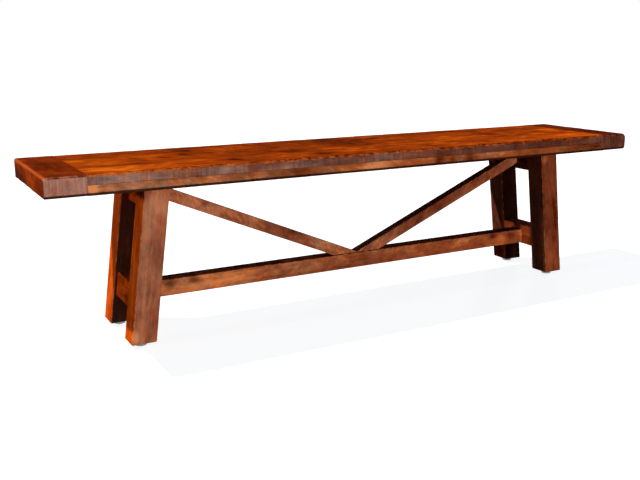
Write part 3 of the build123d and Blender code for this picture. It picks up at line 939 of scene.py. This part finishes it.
# Pale top arris of the left end, worn and with a painted highlight, and its cool cast, and a pale
# stretch of its front arris, worn and with a painted highlight
END_ARRIS_HIGHLIGHT = ((-HALF_LENGTH + 1.5 * MM, 0, TOP_Z - 3 * MM), (4.5 * MM, 9, 3.2 * MM), 0.66)
END_ARRIS_HIGHLIGHT_CASTS = [((-HALF_LENGTH, 0, TOP_Z - 3 * MM), (6 * MM, 9, 4 * MM), -0.9)]
CAP_ARRIS_HIGHLIGHT = ((-PLANK_END - 60 * MM, -HALF_DEPTH + 1 * MM, TOP_Z - 2 * MM),
            (60 * MM, 5 * MM, 5 * MM), 0.16)
END_MARKS = [
    on_end(-40, 432, 50, 20, 0.44),
    on_end(150, 425, 60, 20, -0.26),
    on_end(60, 418, 44, 9, -0.22),
    on_end(-110, 430, 24, 18, -0.06),
]
# Marks on the legs are in metres
LEG_MARKS_AND_SHADOW = [
    ((-0.620, -0.128, 0.360), (0.05, 0.02, 0.040), 0.14),
    ((-0.640, -0.128, 0.080), (0.05, 0.02, 0.070), -0.10),
    ((-0.650, -0.128, 0.230), (0.04, 0.02, 0.030), -0.06),
    ((0.620, -0.128, 0.385), (0.010, 0.02, 0.012), 0.30),
    ((0.680, -0.128, 0.060), (0.05, 0.02, 0.060), 0.15),
    ((-0.712, -0.128, 0.030), (0.010, 0.02, 0.016), 0.40),
    # Painted shadow of the seat's left end on the top of the front left leg's outer face
    ((-0.671, -0.100, 0.394), (0.02, 0.030, 0.018), -0.55),
    ((0.652, 0.110, 0.030), (0.014, 0.06, 0.060), -0.60),
    ((0.690, 0.064, 0.030), (0.030, 0.02, 0.060), 0.10),
    ((0.620, 0.110, 0.160), (0.06, 0.04, 0.070), -0.22),
]
LEG_CASTS = [
    ((0.690, -0.128, 0.060), (0.08, 0.03, 0.110), 0.8),
    ((0.650, -0.128, 0.360), (0.08, 0.03, 0.100), 0.4),
    ((-0.660, -0.128, 0.200), (0.08, 0.03, 0.090), -0.35),
]
RAIL_CASTS = [((0.63, 0, 0.14), (0.2, 0.3, 0.2), 0.8)]
BAR_MARKS = [
    on_bar(-580, 126, 14, 11, -0.28),
    on_bar(-513, 127, 16, 10, -0.30),
    on_bar(-400, 115, 110, 20, 0.16),
    on_bar(-540, 108, 60, 10, 0.10),
    on_bar(515, 127, 18, 12, -0.42),
    on_bar(592, 124, 22, 12, -0.44),
    on_bar(560, 112, 50, 12, 0.18),
    on_bar(639, 115, 4, 30, 0.20),
]
BAR_CASTS = [
    on_bar(-580, 126, 16, 12, -1.3),
    on_bar(-513, 127, 18, 11, -1.3),
    on_bar(-440, 112, 90, 20, 0.5),
    on_bar(-200, 115, 120, 20, -0.3),
    on_bar(300, 115, 100, 20, 0.4),
    on_bar(540, 112, 90, 16, 0.9),
    on_bar(592, 126, 16, 10, -0.5),
]
BRACE_MARKS = [
    on_bar(-480, 340, 110, 60, 0.16),
    on_bar(-240, 240, 100, 60, -0.16),
    on_bar(-330, 270, 24, 20, 0.20),
    on_bar(-212, 226, 18, 12, -0.24),
    on_bar(-475, 330, 14, 10, -0.34),
    on_bar(-110, 180, 40, 20, 0.14),
    on_bar(240, 240, 140, 90, -0.26),
    on_bar(480, 340, 120, 60, -0.12),
]

# Tones of single boards and sides
END_FACE_TONES = {"left": 0.19, "right": -0.10}
BREADBOARD_TONES = {"left": -0.05, "right": -0.16}
# Lighter left legs and darker right legs: partly the wood's own tone, partly a painted sheen that is
# strongest at the left
LEG_TONES_AND_SHEEN = {"leg_front_left": 0.04, "leg_back_left": 0.02, "leg_front_right": -0.24,
             "leg_back_right": -0.24}
# The right upper rail's inner face and the upper rails' outer faces are darkened as painted shade; the
# other values are the wood's own tone
RAIL_INNER_TONES_AND_SHADE = {"upper_rail_left": -0.1, "lower_rail_left": -0.1, "upper_rail_right": -0.30,
                    "lower_rail_right": 0.10}
RAIL_OUTER_SHADE = {"upper": -0.14, "lower": 0.0}
# Painted shade: the tops of the stretcher and braces are darkened, as they lie in the seat's shade
STRETCHER_TOP_SHADE = -0.30
BRACE_TOP_SHADE = -0.06

# Roundings of the breadboards' outer arrises, above and below
BREADBOARD_ROUNDS = {"left": (7.0 * MM, 3.0 * MM), "right": (11.0 * MM, 7.0 * MM)}


def middle_and_size(node):
    """Middle and size of a CAD node's box."""
    low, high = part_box(node)
    return (low + high) / 2, high - low


# The top

def between_ends(name, node):
    """Board from breadboard to breadboard, in place of a CAD node."""
    middle, size = middle_and_size(node)
    board = Board(name, (JOINT_SKIN - PLANK_END, middle.y, middle.z), X_AXIS, Y_AXIS, Z_AXIS,
                  size.y, size.z)
    board.stop = lambda w, t: 2 * (PLANK_END - JOINT_SKIN)
    board.end_round = (JOINT_ROUND, JOINT_ROUND)
    board.step = 5 * MM
    return board


def dress_planks():
    plain, worn = 0.4 * MM, 6.5 * MM
    for row in ("front", "middle", "back"):
        board = between_ends(f"dressed_plank_{row}", f"top_plank_{row}")
        board.radii = [worn if row == "back" else plain, plain, plain,
                       worn if row == "front" else plain]
        board.palette = (0, 1, 1, 1)
        board.rim, board.rim_look = -0.40, 0.12
        board.marks = TOP_MARKS + EDGE_MARKS_AND_SHEEN
        board.casts = EDGE_CASTS + TOP_CASTS
        board.tone_base = -0.03
        dress(board, f"top_plank_{row}", plank_wood)


def dress_strips():
    plain, worn = 0.3 * MM, 3.0 * MM
    for row in ("front", "back"):
        board = between_ends(f"dressed_strip_{row}", f"edge_strip_{row}")
        board.radii = [plain, worn if row == "back" else plain, worn if row == "front" else plain,
                       plain]
        board.marks = STRIP_MARKS
        board.casts = STRIP_CASTS
        # Painted sheen: lighter to the left, darker to the right
        board.sheen_slope = -0.10
        board.side_step = 5 * MM
        dress(board, f"edge_strip_{row}", strip_wood)


def dress_breadboards():
    for side, end in ENDS:
        node = f"breadboard_{end}"
        middle, size = middle_and_size(node)
        start = (middle.x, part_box(node)[0].y + SKIN, middle.z)
        board = Board(f"dressed_{node}", start, Y_AXIS, (side, 0, 0), Z_AXIS, size.x, size.z)
        board.stop = lambda w, t, full=size.y: full - 2 * SKIN
        # The far side, across, is the outer one
        board.radii = [*BREADBOARD_ROUNDS[end], JOINT_ROUND, JOINT_ROUND]
        board.skins = (SKIN, SKIN, SKIN, JOINT_SKIN)
        board.end_round = (6.5 * MM, 3.5 * MM)
        board.end_shares = (1.0, 0.15, 0.55, 0.0)
        board.rim, board.rim_look = -0.10, 0.05
        board.band = 0.6
        board.cap_side = 1
        board.side_tones = (0.0, 0.05, 0.0, 0.0, END_FACE_TONES[end])
        board.tone_base = BREADBOARD_TONES[end]
        board.marks = [END_ARRIS_HIGHLIGHT, CAP_ARRIS_HIGHLIGHT] + END_MARKS
        board.casts = END_ARRIS_HIGHLIGHT_CASTS
        board.step = 5 * MM
        board.side_step = 7 * MM
        dress(board, node, breadboard_wood)


# Trestles

def reach_plane(board, w, t, point, normal):
    """Distance along a board at which one of its lines meets a plane."""
    base = board.point(0, w, t)
    return normal.dot(point - base) / normal.dot(board.along)


def inner_plane(side):
    """Point and normal of the plane in which a trestle's inner faces lie."""
    point = Vector((side * (FOOT_X - LEG_LEVEL), 0, LEG_LOW.z))
    return point, Vector((side * cos(LEAN), 0, sin(LEAN)))


def dress_legs():
    for side, end in ENDS:
        for row in ("front", "back"):
            node = f"leg_{row}_{end}"
            middle, size = middle_and_size(node)
            start = Vector((side * (FOOT_X - LEG_LEVEL / 2), middle.y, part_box(node)[0].z + SKIN))
            board = Board(f"dressed_{node}", start, (-side * tan(LEAN), 0, 1), Y_AXIS, (side, 0, 0),
                          size.y, LEG_LEVEL)
            board.stop = lambda w, t, full=size.z: full - 2 * SKIN
            board.radii = [2.2 * MM] * 4
            board.end_round = (2.5 * MM, 0.5 * MM)
            board.palette = (1, 0, 0, 0)
            board.tone_base = LEG_TONES_AND_SHEEN[node]
            # The inner faces, which lie in shade, are lightened: painted fill light
            board.side_tones = (-0.05, 0.0, 0.16, 0.0, 0.0)
            board.marks = LEG_MARKS_AND_SHADOW
            board.casts = LEG_CASTS
            board.step = 7 * MM
            dress(board, node, leg_wood)


def dress_rails():
    reach = LEG_LOW.y
    for side, end in ENDS:
        for level in ("lower", "upper"):
            node = f"{level}_rail_{end}"
            middle, size = middle_and_size(node)
            thick = size.x - tan(LEAN) * size.z
            mid_x = FOOT_X - tan(LEAN) * (middle.z - LEG_LOW.z) - (LEG_LEVEL - thick / 2)
            board = Board(f"dressed_{node}", (side * mid_x, -reach, middle.z), Y_AXIS,
                          (-side * tan(LEAN), 0, 1), (side, 0, 0), size.z, thick)
            board.stop = lambda w, t: 2 * reach
            board.radii = [1.6 * MM] * 4
            board.end_round = (0.3 * MM, 0.3 * MM)
            board.palette = (0, 1, 0.45 if level == "lower" else 1, 1)
            board.side_tones = (RAIL_OUTER_SHADE[level], -0.1, RAIL_INNER_TONES_AND_SHADE[node], 0.0, 0.0)
            board.casts = RAIL_CASTS
            dress(board, node, rail_wood)


def dress_stretcher():
    middle, size = middle_and_size("stretcher")
    board = Board("dressed_stretcher", middle, X_AXIS, Y_AXIS, Z_AXIS, size.y, size.z)
    left, right = inner_plane(-1), inner_plane(1)
    board.start = lambda w, t: reach_plane(board, w, t, *left)
    board.stop = lambda w, t: reach_plane(board, w, t, *right)
    board.radii = [1.8 * MM] * 4
    board.end_round = (0.4 * MM, 0.4 * MM)
    board.marks = BAR_MARKS
    board.casts = BAR_CASTS
    # Painted sheen: lighter to the left, darker to the right
    board.sheen_slope = -0.08
    board.side_tones = (STRETCHER_TOP_SHADE, 0.0, 0.0, 0.0, 0.0)
    dress(board, "stretcher", stretcher_wood)


def dress_braces():
    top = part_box("stretcher")[1].z
    for side, end in ENDS:
        thick = middle_and_size(f"brace_{end}")[1].y
        along = Vector((side * cos(BRACE_ANGLE), 0, sin(BRACE_ANGLE)))
        up = Vector((-side * sin(BRACE_ANGLE), 0, cos(BRACE_ANGLE)))
        axis_start = Vector((0, 0, top + BRACE_NOSE - thick / 2 / cos(BRACE_ANGLE)))
        board = Board(f"dressed_brace_{end}", axis_start, along, Y_AXIS, up, thick, thick)
        plane = inner_plane(side)

        def start(w, t, board=board):
            on_stretcher = reach_plane(board, w, t, Vector((0, 0, top)), Vector(Z_AXIS))
            at_middle = reach_plane(board, w, t, Vector((0, 0, 0)), Vector(X_AXIS))
            return max(on_stretcher, at_middle)

        board.start = start
        board.stop = lambda w, t, board=board, plane=plane: reach_plane(board, w, t, *plane)
        board.radii = [1.4 * MM] * 4
        board.end_round = (0.3 * MM, 0.3 * MM)
        board.marks = BRACE_MARKS
        board.side_tones = (BRACE_TOP_SHADE, 0.0, 0.0, 0.0, 0.0)
        dress(board, f"brace_{end}", brace_wood)


# Pieces that keep their CAD mesh

def give(material, *nodes):
    """Puts a material on CAD nodes that stay."""
    for node in nodes:
        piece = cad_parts[node]
        piece.data.materials.clear()
        piece.data.materials.append(material)


def finish_hardware():
    give(batten_wood, "batten_left", "batten_centre", "batten_right")
    give(plug_wood, "stretcher_bolt_plugs", "brace_screw_plugs")
    give(dowel_wood, "plank_dowels", "breadboard_pegs", "stretcher_dowels")
    give(zinc, "stretcher_bolts", "stretcher_washers", "stretcher_cross_nuts", "glide_inserts")
    give(screw_metal, "batten_screws", "batten_side_screws", "brace_foot_screws", "brace_head_screws")
    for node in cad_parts:
        if node.startswith(("glide_base", "glide_stud")):
            give(nickel, node)
        if node.startswith("glide_sole"):
            give(sole, node)


# Camera, light and floor

def add_camera():
    data = bpy.data.cameras.new("photo_camera")
    data.lens = LENS_MM
    camera = bpy.data.objects.new("photo_camera", data)
    camera.location = CAMERA_PLACE
    camera.rotation_euler = (CAMERA_TILT, 0, CAMERA_TURN)
    bpy.context.scene.collection.objects.link(camera)
    bpy.context.scene.camera = camera


def add_sun(name, source, strength, angle, glossy):
    data = bpy.data.lights.new(name, "SUN")
    data.energy = strength
    data.angle = radians(angle)
    lamp = bpy.data.objects.new(name, data)
    lamp.rotation_euler = Vector(source).to_track_quat("Z", "Y").to_euler()
    lamp.visible_glossy = glossy
    bpy.context.scene.collection.objects.link(lamp)


def seen_directly(tree, gloss_share):
    """1 for camera and transmission rays, a share for glossy rays, 0 for the rest."""
    path = tree.put("ShaderNodeLightPath")
    gloss = tree.times(path.outputs["Is Glossy Ray"], gloss_share)
    total = tree.plus(path.outputs["Is Camera Ray"], gloss)
    return tree.math("ADD", total, path.outputs["Is Transmission Ray"], clamp=True)


def add_floor():
    """Floor that is pale to the camera and to glossy rays, and dark to light that bounces."""
    half = FLOOR_HALF
    corners = [(-half, -half, 0), (half, -half, 0), (half, half, 0), (-half, half, 0)]
    mesh = bpy.data.meshes.new("floor")
    mesh.from_pydata(corners, [], [(0, 1, 2, 3)])
    floor = bpy.data.objects.new("floor", mesh)
    bpy.context.scene.collection.objects.link(floor)
    tree = Tree(bpy.data.materials.new("pale_floor"))
    tree.nodes.remove(tree.shader)
    glow = tree.put("ShaderNodeEmission", {"Color": WHITE, "Strength": FLOOR_GLOW})
    lit = tree.put("ShaderNodeBsdfDiffuse", {"Color": (FLOOR_LIT_SHARE,) * 3 + (1,)})
    seen = tree.put("ShaderNodeAddShader", {0: glow.outputs[0], 1: lit.outputs[0]})
    bounce = tree.put("ShaderNodeBsdfDiffuse", {"Color": (FLOOR_BOUNCE_GREY,) * 3 + (1,)})
    mix = tree.put("ShaderNodeMixShader", {0: seen_directly(tree, GLOSS_SHARE),
                                           1: bounce.outputs[0], 2: seen.outputs[0]})
    tree.feed(tree.nodes["Material Output"].inputs["Surface"], mix.outputs[0])
    floor.data.materials.append(tree.owner)


def add_world():
    """White surroundings for the camera, and a faint ambient light for the bench."""
    world = bpy.data.worlds.new("studio")
    bpy.context.scene.world = world
    tree = Tree(world)
    background = tree.nodes["Background"]
    direction = tree.put("ShaderNodeTexCoord").outputs["Generated"]
    height = tree.put("ShaderNodeSeparateXYZ", {0: direction}).outputs[2]
    band = tree.remap(height, HORIZON_BAND, 3 * HORIZON_BAND, GLOSS_SHARE, 0.0)
    tree.feed(background.inputs["Color"], tree.blend(seen_directly(tree, band), AMBIENT, WHITE))
    background.inputs["Strength"].default_value = 1.0


add_camera()
dress_planks()
dress_strips()
dress_breadboards()
dress_legs()
dress_rails()
dress_stretcher()
dress_braces()
finish_hardware()
for sun in SUNS:
    add_sun(*sun)
add_floor()
add_world()
bpy.context.scene.view_settings.view_transform = "Standard"
